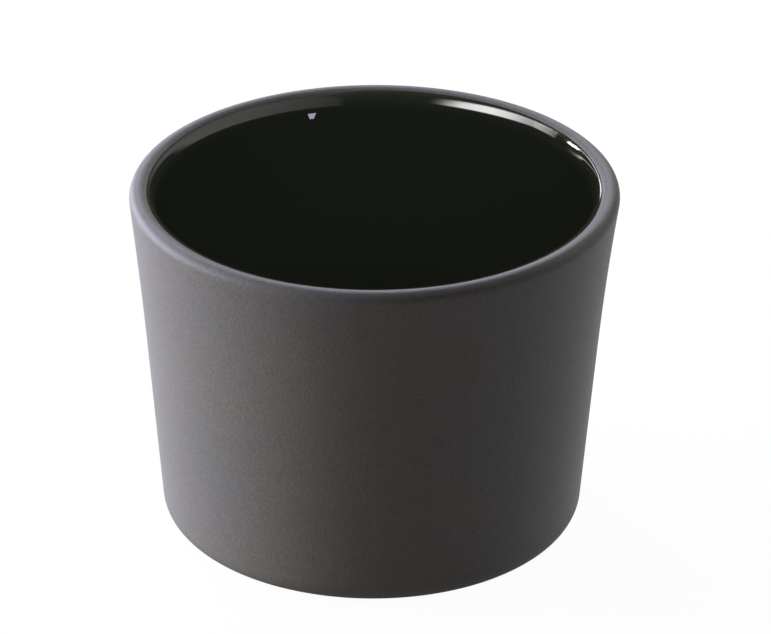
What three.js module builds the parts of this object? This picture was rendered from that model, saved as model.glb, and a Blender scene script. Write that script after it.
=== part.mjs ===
import * as THREE from 'three';

// Tapas bowl: a small, nearly upright serving bowl cast in dark stoneware. Outside, the fired clay is
// bare. Inside, a glossy, nearly black glaze covers the floor and the wall, rolls up over the lip and
// runs out to a thin edge on the inner half of the rounded rim.
// Lengths are in millimetres and angles in degrees. +Z is up, and the origin is the middle of the
// circle on which the bowl stands.

// Overall size
const rimDiameter = 80; // across the widest point of the rim
const bowlHeight = 59.5; // from the table to the top of the rim

// Outside of the wall, from the table up
const footRound = 4.2; // radius of the corner between the foot and the wall
const wallLean = 4.85; // lean of the straight part of the wall, from upright
const flareHeight = 28; // depth of the flared zone below the top of the rim
const flareLean = 2.45; // what the flare adds to the lean, at the rim

// Rim: a rounded crown of bare clay, then the lip that the glaze covers
const crownOuterRound = 1.6; // radius of the outer half of the crown
const crownInnerRound = 2.15; // radius of the inner half of the crown
const bareTurn = 38; // how far the inner half turns down from level before the glaze starts
const edgeTurn = 10; // how much further it turns, under the glaze, before the lip's longer curve
const lipRound = 3.8; // radius of the longer curve from the crown to the inner wall

// Inside of the clay, whose wall is parallel to the straight part of the outside
const innerCornerRound = 9; // radius of the corner between the inner wall and the floor
const floorThickness = 5; // clay between the floor and the recess under it

// Underside: a shallow round recess leaves a flat ring to stand on
const ringWidth = 5.7;
const recessDepth = 1;
const recessEdgeRound = 2.5; // radius of the round that leads from the ring into the recess

// Glaze coat
const glazeThickness = 0.4;
const glazeEdgeWidth = 0.9; // width of the edge in which the coat thins out to nothing

// Fineness of the round shapes
const chordError = 0.02; // how far a straight facet may stray from its round
const flareSteps = 4; // facets up the flare
const sides = 80; // facets round the bowl

// The two halves of the crown meet at its top, level, and their centres lie under that point.
const crownR = rimDiameter / 2 - crownOuterRound;
const innerCrownZ = bowlHeight - crownInnerRound;

const rad = THREE.MathUtils.degToRad;

// A station is one point of the bowl's half section: its radius, its height and, where a coat of glaze
// needs it, the direction in which the surface faces, from outwards (0) by up (90) to inwards (180).
const station = (r, z, facing) => ({ r, z, facing });

// Stations along an arc round (centreR, centreZ), from one direction to another. A hollow arc faces
// its own centre, and any other faces away from it.
function arc(centreR, centreZ, radius, from, to, hollow = false) {
  const stepAngle = 2 * Math.acos(1 - chordError / radius);
  const steps = Math.ceil(Math.abs(rad(to - from)) / stepAngle);
  return Array.from({ length: steps + 1 }, (_, i) => {
    const angle = from + (to - from) * i / steps;
    return station(
      centreR + radius * Math.cos(rad(angle)),
      centreZ + radius * Math.sin(rad(angle)),
      hollow ? angle + 180 : angle,
    );
  });
}

// Underside, from the axis out to the inner edge of the standing ring: the recess's flat roof, and the
// round at its edge, which leaves the roof level and comes down to the table at a slope.
function recess(ringInner) {
  const turn = THREE.MathUtils.radToDeg(Math.acos(1 - recessDepth / recessEdgeRound));
  const roofRadius = ringInner - recessEdgeRound * Math.sin(rad(turn));
  const roofCentreZ = recessDepth - recessEdgeRound;
  return [
    station(0, recessDepth),
    ...arc(roofRadius, roofCentreZ, recessEdgeRound, 90, 90 - turn),
  ];
}

// Outside, from the table up to the top of the crown: foot round, straight wall, flare and crown.
function outside() {
  const rimLean = wallLean + flareLean;
  const crownZ = bowlHeight - crownOuterRound;
  const underCrown = arc(crownR, crownZ, crownOuterRound, -rimLean, 0);
  const overCrown = arc(crownR, crownZ, crownOuterRound, 0, 90);

  // The flare is a parabola: its control point lies halfway up, where the two leans cross.
  const flareTop = underCrown[0];
  const flareFootZ = bowlHeight - flareHeight;
  const controlZ = (flareTop.z + flareFootZ) / 2;
  const controlR = flareTop.r - (flareTop.z - controlZ) * Math.tan(rad(rimLean));
  const flareFootR = controlR - (controlZ - flareFootZ) * Math.tan(rad(wallLean));
  const flareCurve = new THREE.QuadraticBezierCurve(
    new THREE.Vector2(flareFootR, flareFootZ),
    new THREE.Vector2(controlR, controlZ),
    new THREE.Vector2(flareTop.r, flareTop.z),
  );
  const flare = flareCurve.getPoints(flareSteps).slice(0, -1).map((p) => station(p.x, p.y));

  const footTopZ = footRound * (1 - Math.sin(rad(wallLean)));
  const footTopR = flareFootR - (flareFootZ - footTopZ) * Math.tan(rad(wallLean));
  const footCentreR = footTopR - footRound * Math.cos(rad(wallLean));
  const foot = arc(footCentreR, footRound, footRound, -90, -wallLean);
  return [...foot, ...flare, ...underCrown, ...overCrown.slice(1)];
}

// Inner half of the crown, from its top to the line where the glaze starts.
function bareCrown() {
  return arc(crownR, innerCrownZ, crownInnerRound, 90, 90 + bareTurn);
}

// Clay under the glaze, from the glaze line to the axis: the last of the crown, the lip's longer curve,
// the inner wall, the corner and the floor. Each arc starts where the one before it ends.
function glazedClay() {
  const lipStart = 90 + bareTurn + edgeTurn;
  const edge = arc(crownR, innerCrownZ, crownInnerRound, 90 + bareTurn, lipStart);
  const lipOffset = crownInnerRound - lipRound;
  const lip = arc(
    crownR + lipOffset * Math.cos(rad(lipStart)),
    innerCrownZ + lipOffset * Math.sin(rad(lipStart)),
    lipRound,
    lipStart,
    180 - wallLean,
  );
  const lipFoot = lip.at(-1);
  const floorZ = recessDepth + floorThickness;
  const cornerTopZ = floorZ + innerCornerRound * (1 - Math.sin(rad(wallLean)));
  const cornerTopR = lipFoot.r - (lipFoot.z - cornerTopZ) * Math.tan(rad(wallLean));
  const corner = arc(
    cornerTopR - innerCornerRound * Math.cos(rad(wallLean)),
    floorZ + innerCornerRound,
    innerCornerRound,
    -wallLean,
    -90,
    true,
  );
  return [...edge, ...lip.slice(1), ...corner, station(0, floorZ, 90)];
}

// Top of the glaze: each station of the clay moved out, square to the clay, by the coat's thickness.
// The thickness grows from nothing at the glaze line along a quarter of a sine wave.
function glazeTop(clay) {
  let along = 0;
  return clay.map((at, i) => {
    if (i > 0) along += Math.hypot(at.r - clay[i - 1].r, at.z - clay[i - 1].z);
    const share = Math.min(1, along / glazeEdgeWidth);
    const coat = glazeThickness * Math.sin(share * Math.PI / 2);
    return station(
      at.r + coat * Math.cos(rad(at.facing)),
      at.z + coat * Math.sin(rad(at.facing)),
      at.facing,
    );
  });
}

// A closed half section turned about the bowl's axis. LatheGeometry turns it about Y, so the result
// is stood up on +Z.
function turned(section) {
  const outline = section.map(({ r, z }) => new THREE.Vector2(Math.abs(r) < 1e-9 ? 0 : r, z));
  return new THREE.LatheGeometry(outline, sides).rotateX(Math.PI / 2);
}

function piece(name, section, finish) {
  const mesh = new THREE.Mesh(turned(section), new THREE.MeshStandardMaterial(finish));
  mesh.name = name;
  return mesh;
}

const outer = outside();
const under = recess(outer[0].r - ringWidth);
const underGlaze = glazedClay();
const overGlaze = glazeTop(underGlaze);

const bowl = new THREE.Group();
bowl.name = 'tapas_bowl';
bowl.add(
  piece(
    'clay_body',
    [...under, ...outer, ...bareCrown().slice(1), ...underGlaze.slice(1)],
    { color: 0x57555a, roughness: 0.85, metalness: 0 },
  ),
  piece(
    'glaze_lining',
    [...underGlaze.toReversed(), ...overGlaze.slice(1)],
    { color: 0x121410, roughness: 0.06, metalness: 0 },
  ),
);

export default bowl;
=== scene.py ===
"""Tapas bowl of dark stoneware: bare, matt clay outside and a glossy, nearly black glaze inside.

Lengths are in metres and angles in degrees. +Z is up, and the bowl stands on the floor at the origin.
The camera looks from -Y. A turn round the bowl is counted from the back, and an azimuth in the studio
from the camera's side. Both are positive to the right.
"""

import bpy
import numpy as np
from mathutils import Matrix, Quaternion, Vector

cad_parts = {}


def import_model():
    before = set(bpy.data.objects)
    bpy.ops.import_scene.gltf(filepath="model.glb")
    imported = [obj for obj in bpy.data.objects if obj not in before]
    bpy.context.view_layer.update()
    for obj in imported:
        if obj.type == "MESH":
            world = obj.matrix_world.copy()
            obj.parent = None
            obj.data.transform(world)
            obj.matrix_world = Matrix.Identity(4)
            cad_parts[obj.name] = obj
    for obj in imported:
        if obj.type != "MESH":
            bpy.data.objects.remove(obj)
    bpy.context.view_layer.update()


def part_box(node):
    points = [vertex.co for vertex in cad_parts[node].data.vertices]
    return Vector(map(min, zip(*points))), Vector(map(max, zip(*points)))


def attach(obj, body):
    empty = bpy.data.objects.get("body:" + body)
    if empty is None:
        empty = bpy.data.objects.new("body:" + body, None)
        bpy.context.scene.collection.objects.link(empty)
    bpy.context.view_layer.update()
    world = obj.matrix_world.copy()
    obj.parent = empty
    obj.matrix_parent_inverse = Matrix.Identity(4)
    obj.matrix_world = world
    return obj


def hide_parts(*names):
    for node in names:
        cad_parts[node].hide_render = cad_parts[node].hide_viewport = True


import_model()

MM = 0.001

# The bowl's half section. Height and rim come from the frame, and the rest repeats the solids' sizes.
bowl_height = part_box("clay_body")[1].z
rim_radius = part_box("clay_body")[1].x
foot_round = 4.2 * MM  # radius of the corner between the foot and the wall
wall_lean = 4.85  # lean of the straight part of the wall, from upright
flare_height = 28 * MM  # depth of the flared zone below the top of the rim
flare_lean = 2.45  # what the flare adds to the lean, at the rim
crown_outer_round = 1.6 * MM  # radius of the outer half of the rim's crown
crown_inner_round = 2.15 * MM  # radius of the inner half of the crown
bare_turn = 38  # how far the inner half turns down from level before the glaze starts
edge_turn = 10  # how much further it turns, under the glaze, before the lip's longer curve
lip_round = 3.8 * MM  # radius of the longer curve from the crown to the inner wall
inner_corner_round = 9 * MM  # radius of the corner between the inner wall and the floor
floor_thickness = 5 * MM  # clay between the inner floor and the recess under it
ring_width = 5.7 * MM  # width of the flat ring on which the bowl stands
recess_depth = 1 * MM
recess_edge_round = 2.5 * MM  # radius of the round that leads from the ring into the recess
glaze_thickness = 0.4 * MM
glaze_edge_width = 0.9 * MM  # width of the edge in which the coat thins out to nothing

rim_lean = wall_lean + flare_lean
crown_radius = rim_radius - crown_outer_round
inner_crown_z = bowl_height - crown_inner_round
lip_start = 90 + bare_turn + edge_turn
floor_z = recess_depth + floor_thickness

# The rim as it came out of the kiln, not quite round
rim_shift = 0.30 * MM  # how far it leans to the right
rim_forward = 0.20 * MM  # how far it leans to the front
rim_oval = 0.26 * MM  # how far it is drawn out and in, to an oval
rim_fade = 12 * MM  # depth below the top at which about a third of this is left

# Fineness of the meshes
sides = 720  # points round the bowl
ring_steps = 2  # stations across the flat ring on which it stands

# Places round the bowl: 0 at the back, 90 on the right and 180 at the front. They run anticlockwise as
# seen from above.
turns = 180 - np.linspace(0, 360, sides, endpoint=False)


def sin(degrees):
    return np.sin(np.radians(degrees))


def cos(degrees):
    return np.cos(np.radians(degrees))


def tan(degrees):
    return np.tan(np.radians(degrees))


def rise(value, start, stop):
    """0 up to start, 1 from stop on, and a straight climb between them."""
    return np.clip((value - start) / (stop - start), 0, 1)


def hump(value, middle, half_width):
    """A flat-topped hump: e to the power of minus the cube of the distance in half widths."""
    return np.exp(-np.abs((value - middle) / half_width) ** 3)


def arc(centre_r, centre_z, radius, start, stop, count):
    """Stations (radius, height, facing) on an arc.

    Each lies at centre + radius * (cos a, sin a) and faces a, with a evenly spaced from start to stop."""
    a = np.linspace(start, stop, count)
    return np.stack([centre_r + radius * cos(a), centre_z + radius * sin(a), a], axis=1)


def line(first, last, count):
    """Stations evenly spaced from first to last, both left out."""
    share = np.linspace(0, 1, count + 2)[1:-1, None]
    return np.asarray(first) * (1 - share) + np.asarray(last) * share


def outside():
    """Foot round, straight wall, flare and outer half of the crown, from the table up.

    The flare is a parabola, foot * (1 - t)^2 + control * 2 t (1 - t) + top * t^2. Its control point lies
    halfway up, where the two leans cross."""
    crown_z = bowl_height - crown_outer_round
    crown = arc(crown_radius, crown_z, crown_outer_round, -rim_lean, 90, count=26)
    flare_top = crown[0, :2]
    flare_foot_z = bowl_height - flare_height
    control_z = (flare_top[1] + flare_foot_z) / 2
    control_r = flare_top[0] - (flare_top[1] - control_z) * tan(rim_lean)
    flare_foot_r = control_r - (control_z - flare_foot_z) * tan(wall_lean)
    t = np.linspace(0, 1, 20)[:-1, None]
    curve = (
        (1 - t) ** 2 * [flare_foot_r, flare_foot_z]
        + 2 * t * (1 - t) * [control_r, control_z]
        + t**2 * flare_top
    )
    flare = np.hstack([curve, np.full_like(t, -wall_lean)])

    foot_top_z = foot_round * (1 - sin(wall_lean))
    foot_top_r = flare_foot_r - (flare_foot_z - foot_top_z) * tan(wall_lean)
    foot_centre_r = foot_top_r - foot_round * cos(wall_lean)
    foot = arc(foot_centre_r, foot_round, foot_round, -90, -wall_lean, count=16)
    return np.vstack([foot, line(foot[-1], flare[0], count=6), flare, crown])


def underside(foot_r):
    """Flat roof of the recess, the round at its edge and the flat standing ring, from the axis out."""
    slope = np.degrees(np.arccos(1 - recess_depth / recess_edge_round))
    ring_inner = foot_r - ring_width
    roof_r = ring_inner - recess_edge_round * sin(slope)
    roof_centre_z = recess_depth - recess_edge_round
    edge = arc(roof_r, roof_centre_z, recess_edge_round, 90, 90 - slope, count=8)
    axis = [0, recess_depth, -90]
    roof = line(axis, edge[0], count=2)
    ring = line(edge[-1], [foot_r, 0, -90], ring_steps)
    return np.vstack([[axis], roof, edge, ring])


def inside():
    """Clay under the glaze, from the end of the crown down lip, wall and corner to the axis."""
    offset = crown_inner_round - lip_round
    lip_centre_r = crown_radius + offset * cos(lip_start)
    lip_centre_z = inner_crown_z + offset * sin(lip_start)
    lip = arc(lip_centre_r, lip_centre_z, lip_round, lip_start, 180 - wall_lean, count=28)

    corner_top_z = floor_z + inner_corner_round * (1 - sin(wall_lean))
    corner_top_r = lip[-1, 0] - (lip[-1, 1] - corner_top_z) * tan(wall_lean)
    corner_centre_r = corner_top_r - inner_corner_round * cos(wall_lean)
    corner_centre_z = floor_z + inner_corner_round
    corner = arc(corner_centre_r, corner_centre_z, inner_corner_round, -wall_lean, -90, count=22)
    corner[:, 2] += 180  # a hollow corner faces its own centre

    axis = [0, floor_z, 90]
    wall = line(lip[-1], corner[0], count=4)
    flat = line(corner[-1], axis, count=4)
    return np.vstack([lip, wall, corner, flat, [axis]])


def out_of_round(height):
    """How far the wall strays outwards from a true circle at each turn, at that height: 0.6 mm at most.

    The rim leans to the right and to the front, and is slightly oval, longest from the back right to the
    front left, so it is drawn in at the back left. Further down the wall comes true again, as e to the
    power of minus the depth over rim_fade."""
    rim = rim_shift * sin(turns) - rim_forward * cos(turns) + rim_oval * sin(2 * turns)
    return rim * np.exp((height - bowl_height) / rim_fade)


def turned_mesh(name, radius, height, sharp_rings):
    """A closed surface turned about the axis: ((radius + out_of_round) * sin and cos of turn, height).

    radius and height are grids of rings by sides. The first and last rings lie on the axis, and each
    becomes one point with a fan of triangles."""
    radius = np.broadcast_to(radius, (len(radius), sides))
    height = np.broadcast_to(height, (len(height), sides))
    wide = radius + out_of_round(height)
    grid = np.stack([wide * sin(turns), wide * cos(turns), height], axis=-1)
    rings = grid[1:-1]
    poles = grid[[0, -1], 0] * [0, 0, 1]
    points = np.vstack([rings.reshape(-1, 3), poles])

    index = np.arange(len(rings) * sides).reshape(len(rings), sides)
    beside = np.roll(index, -1, axis=1)
    quads = np.stack([index[:-1], beside[:-1], beside[1:], index[1:]], axis=-1).reshape(-1, 4)
    first = len(points) - 2
    last = len(points) - 1
    start_fan = np.stack([np.full(sides, first), beside[0], index[0]], axis=-1)
    end_fan = np.stack([np.full(sides, last), index[-1], beside[-1]], axis=-1)

    mesh = bpy.data.meshes.new(name)
    mesh.from_pydata(points.tolist(), [], quads.tolist() + start_fan.tolist() + end_fan.tolist())
    mesh.polygons.foreach_set("use_smooth", np.ones(len(mesh.polygons), bool))
    mark_sharp(mesh, sharp_rings)
    mesh.update()
    return mesh


def mark_sharp(mesh, sharp_rings):
    """Shades the edges along these rings as sharp. Rings are counted from the first pole, ring 0."""
    ends = np.zeros(len(mesh.edges) * 2, int)
    mesh.edges.foreach_get("vertices", ends)
    ring_of = ends.reshape(-1, 2) // sides + 1
    sharp = np.isin(ring_of[:, 0], sharp_rings) & (ring_of[:, 0] == ring_of[:, 1])
    mesh.attributes.new("sharp_edge", "BOOLEAN", "EDGE").data.foreach_set("value", sharp)


def clay_mesh():
    """The whole clay body: underside, outside, crown and the inside that the glaze covers."""
    outer = outside()
    under = underside(outer[0, 0])
    crown = arc(crown_radius, inner_crown_z, crown_inner_round, 90, lip_start, count=24)
    section = np.vstack([under, outer, crown[1:], inside()[1:]])
    ring_inner_edge = len(under) - ring_steps - 1
    return turned_mesh("bowl_clay", section[:, :1], section[:, 1:2], [ring_inner_edge])


def ripple(waves, seed):
    """A smooth random wave round the bowl: the mean of sines, each with whole turns and its own phase."""
    phases = np.random.default_rng(seed).uniform(0, 360, (len(waves), 1))
    return sin(np.array(waves)[:, None] * turns + phases).mean(axis=0)


def glaze_line():
    """Where on the crown the glaze starts at each turn, as the facing of the clay there.

    The line lies a little above bare_turn and wanders: it dips at the back left and on the right, rises
    beside those places, and has a slow ripple and a fine, ragged one."""
    lift = 4.5
    down_back_left = 12 * hump(turns, -21, 14)
    up_back_right = -3 * hump(turns, 20, 25)
    down_right = 5 * hump(turns, 92, 25)
    up_front_right = -5 * hump(turns, 120, 14)
    wander = down_back_left + up_back_right + down_right + up_front_right - lift
    slow = 0.5 * ripple([7, 11, 16], seed=4)
    ragged = 0.25 * ripple([67, 101, 139, 197], seed=9)
    return 90 + bare_turn + (wander + slow + ragged)


def glaze_mesh():
    """The glaze coat, which lies on the clay. Its top is the clay's surface moved out along its facing.

    Its thickness is glaze_thickness * sin(90 * along / glaze_edge_width) up to the edge's width, and full
    from there on. along is the distance from the glaze line down the clay, and the attribute depth
    keeps it."""
    start = glaze_line()
    share = np.linspace(0, 1, 9)[:-1, None]
    edge_facing = start + (lip_start - start) * share
    edge_r = crown_radius + crown_inner_round * cos(edge_facing)
    edge_z = inner_crown_z + crown_inner_round * sin(edge_facing)
    rest = inside()[:, :, None] * np.ones(sides)
    r = np.vstack([edge_r, rest[:, 0]])
    z = np.vstack([edge_z, rest[:, 1]])
    facing = np.vstack([edge_facing, rest[:, 2]])

    steps = np.hypot(np.diff(r, axis=0), np.diff(z, axis=0))
    along = np.vstack([np.zeros(sides), np.cumsum(steps, axis=0)])
    coat = glaze_thickness * sin(90 * np.minimum(1, along / glaze_edge_width))
    top_r = r + coat * cos(facing)
    top_z = z + coat * sin(facing)
    top_r[-1] = 0

    section_r = np.vstack([r[::-1], top_r[1:]])
    section_z = np.vstack([z[::-1], top_z[1:]])
    line_ring = len(r) - 1
    mesh = turned_mesh("bowl_glaze", section_r, section_z, [line_ring])
    depth = np.vstack([along[::-1], along[1:]])[1:-1].ravel()
    depth = np.append(depth, [along[-1, 0]] * 2)
    mesh.attributes.new("depth", "FLOAT", "POINT").data.foreach_set("value", depth)
    return mesh


class Number:
    """A number that varies over a surface. Arithmetic on it adds Math nodes."""

    def __init__(self, finish, socket):
        self.finish = finish
        self.socket = socket

    def maths(self, operation, *values):
        node = self.finish.add("ShaderNodeMath", {"operation": operation}, dict(enumerate(values)))
        return Number(self.finish, node.outputs[0])

    def __add__(self, other):
        return self.maths("ADD", self, other)

    def __radd__(self, other):
        return self.maths("ADD", other, self)

    def __sub__(self, other):
        return self.maths("SUBTRACT", self, other)

    def __rsub__(self, other):
        return self.maths("SUBTRACT", other, self)

    def __mul__(self, other):
        return self.maths("MULTIPLY", self, other)

    def __rmul__(self, other):
        return self.maths("MULTIPLY", other, self)

    def at_most(self, other):
        return self.maths("MINIMUM", self, other)

    def at_least(self, other):
        return self.maths("MAXIMUM", self, other)

    def below(self, other):
        """1 where this is less than other, and 0 elsewhere."""
        return self.maths("LESS_THAN", self, other)

    def climb(self, start, length):
        """0 up to start, 1 from start + length on, and a straight climb between them."""
        return ((self - start) * (1 / length)).at_least(0).at_most(1)


class Finish:
    """The node tree of a material or of the world."""

    def __init__(self, owner):
        owner.use_nodes = True
        self.tree = owner.node_tree
        self.tree.nodes.clear()

    def add(self, kind, settings=None, sockets=None):
        """Adds a node, sets its settings first, and then gives each socket its value or link.

        Sockets are named or numbered."""
        node = self.tree.nodes.new(kind)
        for key, value in (settings or {}).items():
            setattr(node, key, value)
        for key, value in (sockets or {}).items():
            if isinstance(value, Number):
                value = value.socket
            if isinstance(value, bpy.types.NodeSocket):
                self.tree.links.new(value, node.inputs[key])
            else:
                node.inputs[key].default_value = value
        return node

    def number(self, kind, settings=None, sockets=None, output=0):
        """Adds a node, and gives one of its outputs as a Number."""
        return Number(self, self.add(kind, settings, sockets).outputs[output])

    def place(self):
        """Where on the piece a point lies, in metres."""
        return self.add("ShaderNodeTexCoord").outputs["Object"]

    def noise(self, place, scale, detail, squeeze=(1, 1, 1)):
        """Noise from 0 to 1, with features about 1/scale metres across, divided by squeeze."""
        spot = self.add("ShaderNodeMapping", None, {"Vector": place, "Scale": squeeze}).outputs[0]
        sockets = {"Vector": spot, "Scale": scale, "Detail": detail}
        return self.number("ShaderNodeTexNoise", None, sockets)

    def blend(self, factor, first, second):
        """A colour between two: sockets 6 and 7 take colours, and the blend comes out at 2."""
        sockets = {"Factor": factor, 6: first, 7: second}
        return self.add("ShaderNodeMix", {"data_type": "RGBA"}, sockets).outputs[2]

    def shaded(self, colour, shade):
        """The colour times a number."""
        sockets = {0: colour, "Scale": shade}
        return self.add("ShaderNodeVectorMath", {"operation": "SCALE"}, sockets).outputs[0]

    def bump(self, height, strength, distance):
        sockets = {"Strength": strength, "Distance": distance, "Height": height}
        return self.add("ShaderNodeBump", None, sockets).outputs[0]

    def output(self, shader, kind="ShaderNodeOutputMaterial"):
        self.add(kind, None, {"Surface": shader.outputs[0]})


def material(name):
    """A new material, and its empty node tree."""
    made = bpy.data.materials.new(name)
    return made, Finish(made)


def bare_clay():
    """Fired dark stoneware, unglazed and speckled, with warm and cool zones from the kiln.

    Its shade comes from a fine grain, a soft mottling and faint level bands left by the turning, and the
    very top of the crown is painted paler: a painted highlight for the light that catches the rim's top."""
    warm = (0.104, 0.097, 0.092, 1)
    cool = (0.098, 0.096, 0.099, 1)
    # Painted highlight: the top 0.1 mm of the crown is made paler, where light catches the rim
    painted_highlight_from = bowl_height - 0.10 * MM
    painted_highlight_fade = 0.08 * MM
    made, finish = material("bare_clay")
    place = finish.place()
    grain = finish.noise(place, scale=2300, detail=3)
    mottle = finish.noise(place, scale=420, detail=2)
    bands = finish.noise(place, scale=60, detail=4, squeeze=(1, 1, 14))
    zones = finish.noise(place, scale=70, detail=3)
    coolness = (zones * 2.4 - 0.7).at_least(0).at_most(1)
    colour = finish.blend(coolness, warm, cool)
    height_up = finish.number("ShaderNodeSeparateXYZ", None, {0: place}, output="Z")
    painted_crown_highlight = height_up.climb(painted_highlight_from, painted_highlight_fade)
    # The last term paints a highlight along the top of the crown
    shade = 0.56 + grain * 0.75 + mottle * 0.10 + bands * 0.04 + painted_crown_highlight * 0.5
    relief = grain * 0.75 + bands * 0.12
    sockets = {
        "Base Color": finish.shaded(colour, shade),
        "Roughness": 0.47 + grain * 0.06,
        "Normal": finish.bump(relief, strength=1.0, distance=0.07 * MM),
        "IOR": 1.3,
    }
    finish.output(finish.add("ShaderNodeBsdfPrincipled", None, sockets))
    return made


def dark_glaze():
    """Glossy glaze, nearly black with a green cast, that thins to brown at its edge on the rim."""
    thin_brown = (0.014, 0.012, 0.010, 1)
    full_green = (0.0082, 0.0094, 0.0066, 1)
    full_at = 0.6 * MM  # distance from the edge
    made, finish = material("dark_glaze")
    depth = finish.number("ShaderNodeAttribute", {"attribute_name": "depth"}, output="Fac")
    waves = finish.noise(finish.place(), scale=110, detail=1)
    sockets = {
        "Base Color": finish.blend((depth * (1 / full_at)).at_most(1), thin_brown, full_green),
        "Roughness": 0.05 + waves * 0.02,
        "Normal": finish.bump(waves, strength=0.2, distance=0.05 * MM),
        "IOR": 1.5,
    }
    finish.output(finish.add("ShaderNodeBsdfPrincipled", None, sockets))
    return made


def placed(name, data):
    """A new object in the scene, made of that mesh, camera or light."""
    obj = bpy.data.objects.new(name, data)
    bpy.context.scene.collection.objects.link(obj)
    return obj


def piece(mesh, node, finish):
    """A finished piece that rides on the bowl's only body and stands for one of the solids."""
    obj = placed(mesh.name, mesh)
    mesh.materials.append(finish)
    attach(obj, "root")
    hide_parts(node)
    return obj


# The camera frames the bowl as the picture's 771 by 634 frame asks.
camera_place = Vector((0, -0.836134, 0.464752))
camera_aim = Vector((0.002134, 0, 0.035215))
camera_roll = 0.349
camera_lens = 266.15
sensor_width = 36

rim_middle = Vector((0, 0, bowl_height))
dome_radius = 2.0
lamp_distance = 0.8
floor_radius = 6.0


def turned_to(start, target):
    """The rotation with which a camera or a lamp at start looks at target."""
    return (target - start).to_track_quat("-Z", "Y")


def camera():
    """A long lens, aimed a little to the right of the bowl and turned slightly about its own axis."""
    data = bpy.data.cameras.new("camera")
    data.sensor_width = sensor_width
    data.lens = camera_lens
    obj = placed("camera", data)
    obj.location = camera_place
    obj.rotation_mode = "QUATERNION"
    roll = Quaternion((0, 0, 1), np.radians(camera_roll))
    obj.rotation_quaternion = turned_to(camera_place, camera_aim) @ roll
    bpy.context.scene.camera = obj


def kinds_of_ray(finish):
    """Two masks: 1 for rays straight from the camera, and 1 for rays off or through a glossy surface."""
    path = finish.add("ShaderNodeLightPath").outputs
    mirrored = Number(finish, path["Is Glossy Ray"]) + Number(finish, path["Is Transmission Ray"])
    return Number(finish, path["Is Camera Ray"]), mirrored.at_most(1)


def first_image(finish):
    """A mask: 1 for rays that left the first surface they met, and 0 from the second surface on."""
    return finish.number("ShaderNodeLightPath", output="Ray Depth").below(1.5)


def world(ambient):
    """White where it is seen or mirrored, and a dim, even light for matt surfaces."""
    made = bpy.data.worlds.new("studio")
    bpy.context.scene.world = made
    finish = Finish(made)
    seen, mirrored = kinds_of_ray(finish)
    strength = ambient + (1 - ambient) * (seen + mirrored).at_most(1)
    shader = finish.add("ShaderNodeBackground", None, {"Color": (1, 1, 1, 1), "Strength": strength})
    finish.output(shader, "ShaderNodeOutputWorld")


def stage_surface(name, points, faces, finish):
    """A surface of the studio, which isn't part of the bowl."""
    mesh = bpy.data.meshes.new(name)
    mesh.from_pydata(points.tolist(), [], faces)
    mesh.materials.append(finish)
    obj = placed(name, mesh)
    return obj


def show_only_mirrored(obj):
    """Takes the object out of the camera's sight, off matt surfaces and out of the shadows."""
    obj.visible_camera = False
    obj.visible_diffuse = False
    obj.visible_shadow = False


def floor():
    """A wide white disc under the bowl. Most of its white is its own, so the bowl's shadow is faint.

    It throws back less light on matt surfaces than it shows, and close round the foot it is mirrored as
    dark as the shadow there is. Its rim is a circle: floor_radius * (cos a, sin a)."""
    own_white = 0.965
    shown = 0.9
    thrown_back = 0.2
    dark_up_to = 31 * MM
    dark_fade = 7 * MM
    made, finish = material("white_floor")
    seen, mirrored = kinds_of_ray(finish)
    place = {0: finish.place()}
    distance = finish.number("ShaderNodeVectorMath", {"operation": "LENGTH"}, place, output="Value")
    # Painted shadow: round the foot the floor's own white fades out for mirrored rays, so the clay
    # mirrors a dark floor there
    clear_of_foot = distance.climb(dark_up_to, dark_fade)
    colour = thrown_back + (shown - thrown_back) * seen
    matt = finish.add("ShaderNodeBsdfDiffuse", None, {"Color": colour})
    glow = finish.add("ShaderNodeEmission", None, {"Color": (1, 1, 1, 1), "Strength": 1.0})
    factor = (seen + mirrored * clear_of_foot).at_most(1) * own_white
    sockets = {0: factor, 1: matt.outputs[0], 2: glow.outputs[0]}
    finish.output(finish.add("ShaderNodeMixShader", None, sockets))

    a = np.linspace(0, 360, 96, endpoint=False)
    rim = np.stack([floor_radius * cos(a), floor_radius * sin(a), 0 * a], axis=1)
    return stage_surface("floor", rim, [list(range(len(rim)))], made)


# What the camera sees mirrored in the glaze. For glaze at a turn round the rim, with a tilt from facing
# level (0) to facing up (90), each function gives how bright that part of the studio is there.


def white_wall(turn, tilt):
    """A white wall on the right of the studio, mirrored along the left of the lip.

    From a dim start at 9 to 11 degrees it brightens along a quarter of a sine wave up to 45 degrees. It
    dims with the cube of the tilt, and fades out below a tilt that follows a parabola round the rim."""
    leftwards = -turn
    dim_start = 0.33 * rise(leftwards, 9, 11)
    brightening = 0.7 * sin(90 * rise(leftwards, 11, 45))
    dimming = 1.1 - 0.62 * (tilt / 76) ** 3
    past_left = np.clip(leftwards - 65, -65, 40)
    lower_end = 36 + 2.6 * past_left - 0.03 * past_left**2
    return (dim_start + brightening) * (dimming * rise(tilt, lower_end - 12, lower_end + 12))


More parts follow.
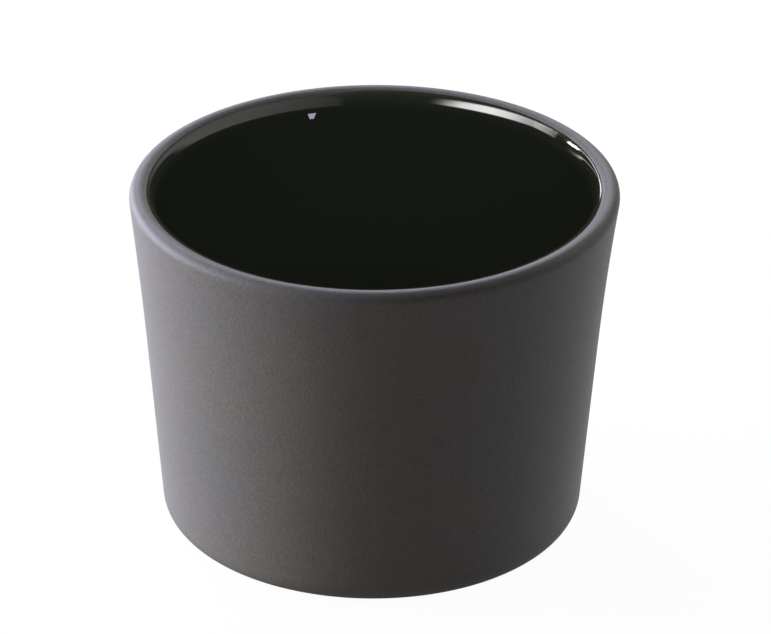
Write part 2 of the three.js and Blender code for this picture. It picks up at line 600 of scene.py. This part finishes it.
def softbox(turn, tilt):
    """A big softbox on the left of the studio, mirrored along the back right and brightest in its middle.

    A seam divides it: the part to the right of it is dimmer and has a sharp end. Its lower edge is a
    parabola round the rim, and its upper edge a soft, slanting line."""
    seam = 46
    left_turns = [12.5, 14, 16, 18, 22, 27, 31, 34, 38, 42, seam]
    left_levels = [0, 0.6, 3, 7.5, 16, 18.5, 19, 17, 14, 8.5, 6.5]
    right_turns = [seam, 50, 54, 56.5]
    right_levels = [9, 6, 2.6, 0.8]
    across = turn + 0.05 * (tilt - 45)
    end = 55.6 - 0.14 * np.maximum(0, tilt - 52)
    left_part = np.interp(across, left_turns, left_levels)
    right_part = np.interp(across, right_turns, right_levels) * (1 - rise(turn, end - 0.8, end))
    level = np.where(across < seam, left_part, right_part)
    lower_edge = 25 + 0.0085 * np.square(np.minimum(turn, seam) - 16)
    upper_edge = 32.5 + 1.42 * (np.minimum(turn, 45) - 16)
    above_lower = rise(tilt, lower_edge - 1, lower_edge + 1)
    return level * above_lower * (1 - rise(tilt, upper_edge - 8, upper_edge + 8))


def small_lamp(turn, tilt):
    """A small round lamp beyond the softbox, mirrored as a slanting ellipse of even brightness."""
    level = 26
    sideways = (turn - 62.3) / 2.3
    upwards = (tilt - 61 - (turn - 63)) / 14.5
    return level * (np.hypot(sideways, upwards) < 1)


def slit(turn, tilt):
    """A thin bright slit under the small lamp, mirrored as a band that climbs towards the right."""
    level = np.interp(turn, [62, 66, 68, 70, 74, 78, 84], [0, 1, 2.2, 5.5, 4.4, 2.1, 0])
    middle = np.interp(turn, [66, 70, 72, 80], [30, 36, 43, 69])
    return level * hump(tilt, middle, half_width=3.3)


def edge_glint(turn, tilt):
    """A narrow bright strip high up, which glints along the edge of the glaze on the right."""
    level = np.interp(turn, [57, 60, 82, 86, 96, 100], [0, 5, 4, 9, 9, 0])
    return level * rise(tilt, 76, 79) * (1 - rise(tilt, 84, 86))


def dome(lit):
    """A dome of black cloth, with the bright parts of the studio painted on it as an attribute.

    Only the pieces in lit mirror it. The glaze that mirrors a point of the dome to the camera faces
    halfway between the two, and its turn and tilt give that point its brightness. An image of an image
    stays dark, so the bowl's inside shows none of the lights twice. At azimuth a and elevation e the
    dome lies at dome_radius * (cos e sin a, -cos e cos a, sin e) from the middle of the rim."""
    made, finish = material("dome")
    bright = finish.number("ShaderNodeAttribute", {"attribute_name": "bright"}, output="Fac")
    strength = bright * first_image(finish)
    finish.output(finish.add("ShaderNodeEmission", None, {"Strength": strength}))

    per_degree = 2
    azimuths = np.linspace(-180, 180, 360 * per_degree + 1)
    elevations = np.linspace(0, 90, 90 * per_degree + 1)
    azimuth, elevation = np.meshgrid(azimuths, elevations)
    level = cos(elevation)
    direction = np.stack([level * sin(azimuth), -level * cos(azimuth), sin(elevation)], axis=-1)
    points = dome_radius * direction + [0, 0, bowl_height]
    index = np.arange(azimuth.size).reshape(azimuth.shape)
    quads = np.stack([index[:-1, :-1], index[:-1, 1:], index[1:, 1:], index[1:, :-1]], axis=-1)
    obj = stage_surface("dome", points.reshape(-1, 3), quads.reshape(-1, 4).tolist(), made)
    show_only_mirrored(obj)
    obj.light_linking.receiver_collection = lit

    facing = direction + np.array((camera_place - rim_middle).normalized())
    facing /= np.linalg.norm(facing, axis=-1, keepdims=True)
    turn = np.degrees(np.arctan2(-facing[..., 0], -facing[..., 1]))
    tilt = np.degrees(np.arcsin(facing[..., 2]))
    parts = [white_wall, softbox, small_lamp, slit, edge_glint]
    glow = sum(part(turn, tilt) for part in parts)
    obj.data.attributes.new("bright", "FLOAT", "POINT").data.foreach_set("value", glow.ravel())


def mirrored_card():
    """A tiny bright card close to the glaze at the back left, which only the glaze beside it mirrors.

    It stands for a lamp that the bowl's inside mirrors twice: a trapezium, wider at the top, in a plane
    in front of the wall and parallel to it."""
    card_turn = -17.0
    card_height = 55.75 * MM
    gap = 0.5 * MM  # between the card and the glaze
    reach = 2 * MM  # how far away the glaze may be that mirrors it
    level = 9.5
    bluish = (0.83, 0.80, 1.0, 1)
    corners = np.array([[-0.36, -0.43], [0.36, -0.43], [0.74, 0.55], [-0.70, 0.55]]) * MM
    made, finish = material("mirrored_card")
    near = finish.number("ShaderNodeLightPath", output="Ray Length").below(reach)
    sockets = {"Color": bluish, "Strength": level * first_image(finish) * near}
    finish.output(finish.add("ShaderNodeEmission", None, sockets))

    section = inside()[::-1]
    clay_r = np.interp(card_height, section[:, 1], section[:, 0])
    strays = out_of_round(card_height)[np.argmin(np.abs(turns - card_turn))]
    radius = clay_r + strays - glaze_thickness - gap
    outwards = np.array([sin(card_turn), cos(card_turn), 0])
    across = np.array([cos(card_turn), -sin(card_turn), 0])
    up = outwards * sin(wall_lean) + np.array([0, 0, cos(wall_lean)])
    middle = radius * outwards + np.array([0, 0, card_height])
    points = middle + corners[:, :1] * across + corners[:, 1:] * up
    obj = stage_surface("mirrored_card", points, [[0, 1, 2, 3]], made)
    show_only_mirrored(obj)


def lamp(name, azimuth, elevation, radiance, lit, width=0.3, tint=(1, 1, 1), sheen=False):
    """A square soft lamp that faces the bowl's rim and lights the pieces in lit.

    It is as bright as radiance all over its face. Only a lamp with sheen shows on them as a soft gleam,
    and the others light them evenly."""
    data = bpy.data.lights.new(name, "AREA")
    data.size = width
    data.energy = radiance * np.pi * width**2
    data.color = tint
    obj = placed(name, data)
    level = lamp_distance * cos(elevation)
    up = lamp_distance * sin(elevation)
    obj.location = rim_middle + Vector((level * sin(azimuth), -level * cos(azimuth), up))
    obj.rotation_mode = "QUATERNION"
    obj.rotation_quaternion = turned_to(obj.location, rim_middle)
    obj.visible_camera = False
    obj.visible_glossy = sheen
    obj.light_linking.receiver_collection = lit


def lit_group(name, *pieces):
    """The pieces that a lamp or the dome lights."""
    group = bpy.data.collections.new(name)
    for obj in pieces:
        group.objects.link(obj)
    return group


def studio(clay, glaze):
    """Lamps round the bowl for the clay, and the dome and one large lamp overhead for the glaze.

    A lamp is given by its name, azimuth, elevation and radiance."""
    world(ambient=0.02)
    outer = lit_group("lit_outside", clay, floor())
    inner = lit_group("lit_inside", glaze)
    dome(inner)
    mirrored_card()
    lamp("left_lamp", -97, 3, 32, outer, tint=(1.02, 0.985, 0.6))
    lamp("left_back_lamp", -115, 5, 11, outer, tint=(0.8, 1.0, 2.1))
    lamp("left_sheen_lamp", -128, 10, 9, outer, width=0.5, tint=(0.95, 1.0, 1.25), sheen=True)
    lamp("left_gleam_lamp", -88, 15, 14, outer, tint=(0.98, 0.97, 1.38), sheen=True)
    lamp("left_high_gleam_lamp", -88, 32, 5.5, outer, tint=(0.95, 1.0, 1.3), sheen=True)
    lamp("back_gleam_lamp", -176, 6, 1.3, outer, width=0.5, sheen=True)
    lamp("right_gleam_lamp", 155, 25, 4, outer, sheen=True)
    lamp("front_lamp", -40, 5, 2.9, outer, tint=(1.15, 0.86, 0.42))
    lamp("back_lamp", -155, 28, 12.5, outer, tint=(0.9, 1.0, 1.15))
    lamp("right_back_lamp", 150, 30, 2.5, outer)
    lamp("right_side_gleam_lamp", 110, 22, 4, outer, sheen=True)
    lamp("right_lamp", 92, 60, 4, outer)
    lamp("overhead_lamp", 0, 80, 3.5, inner, width=2.4)


camera()
clay = piece(clay_mesh(), "clay_body", bare_clay())
glaze = piece(glaze_mesh(), "glaze_lining", dark_glaze())
studio(clay, glaze)

scene = bpy.context.scene
scene.view_settings.view_transform = "Standard"
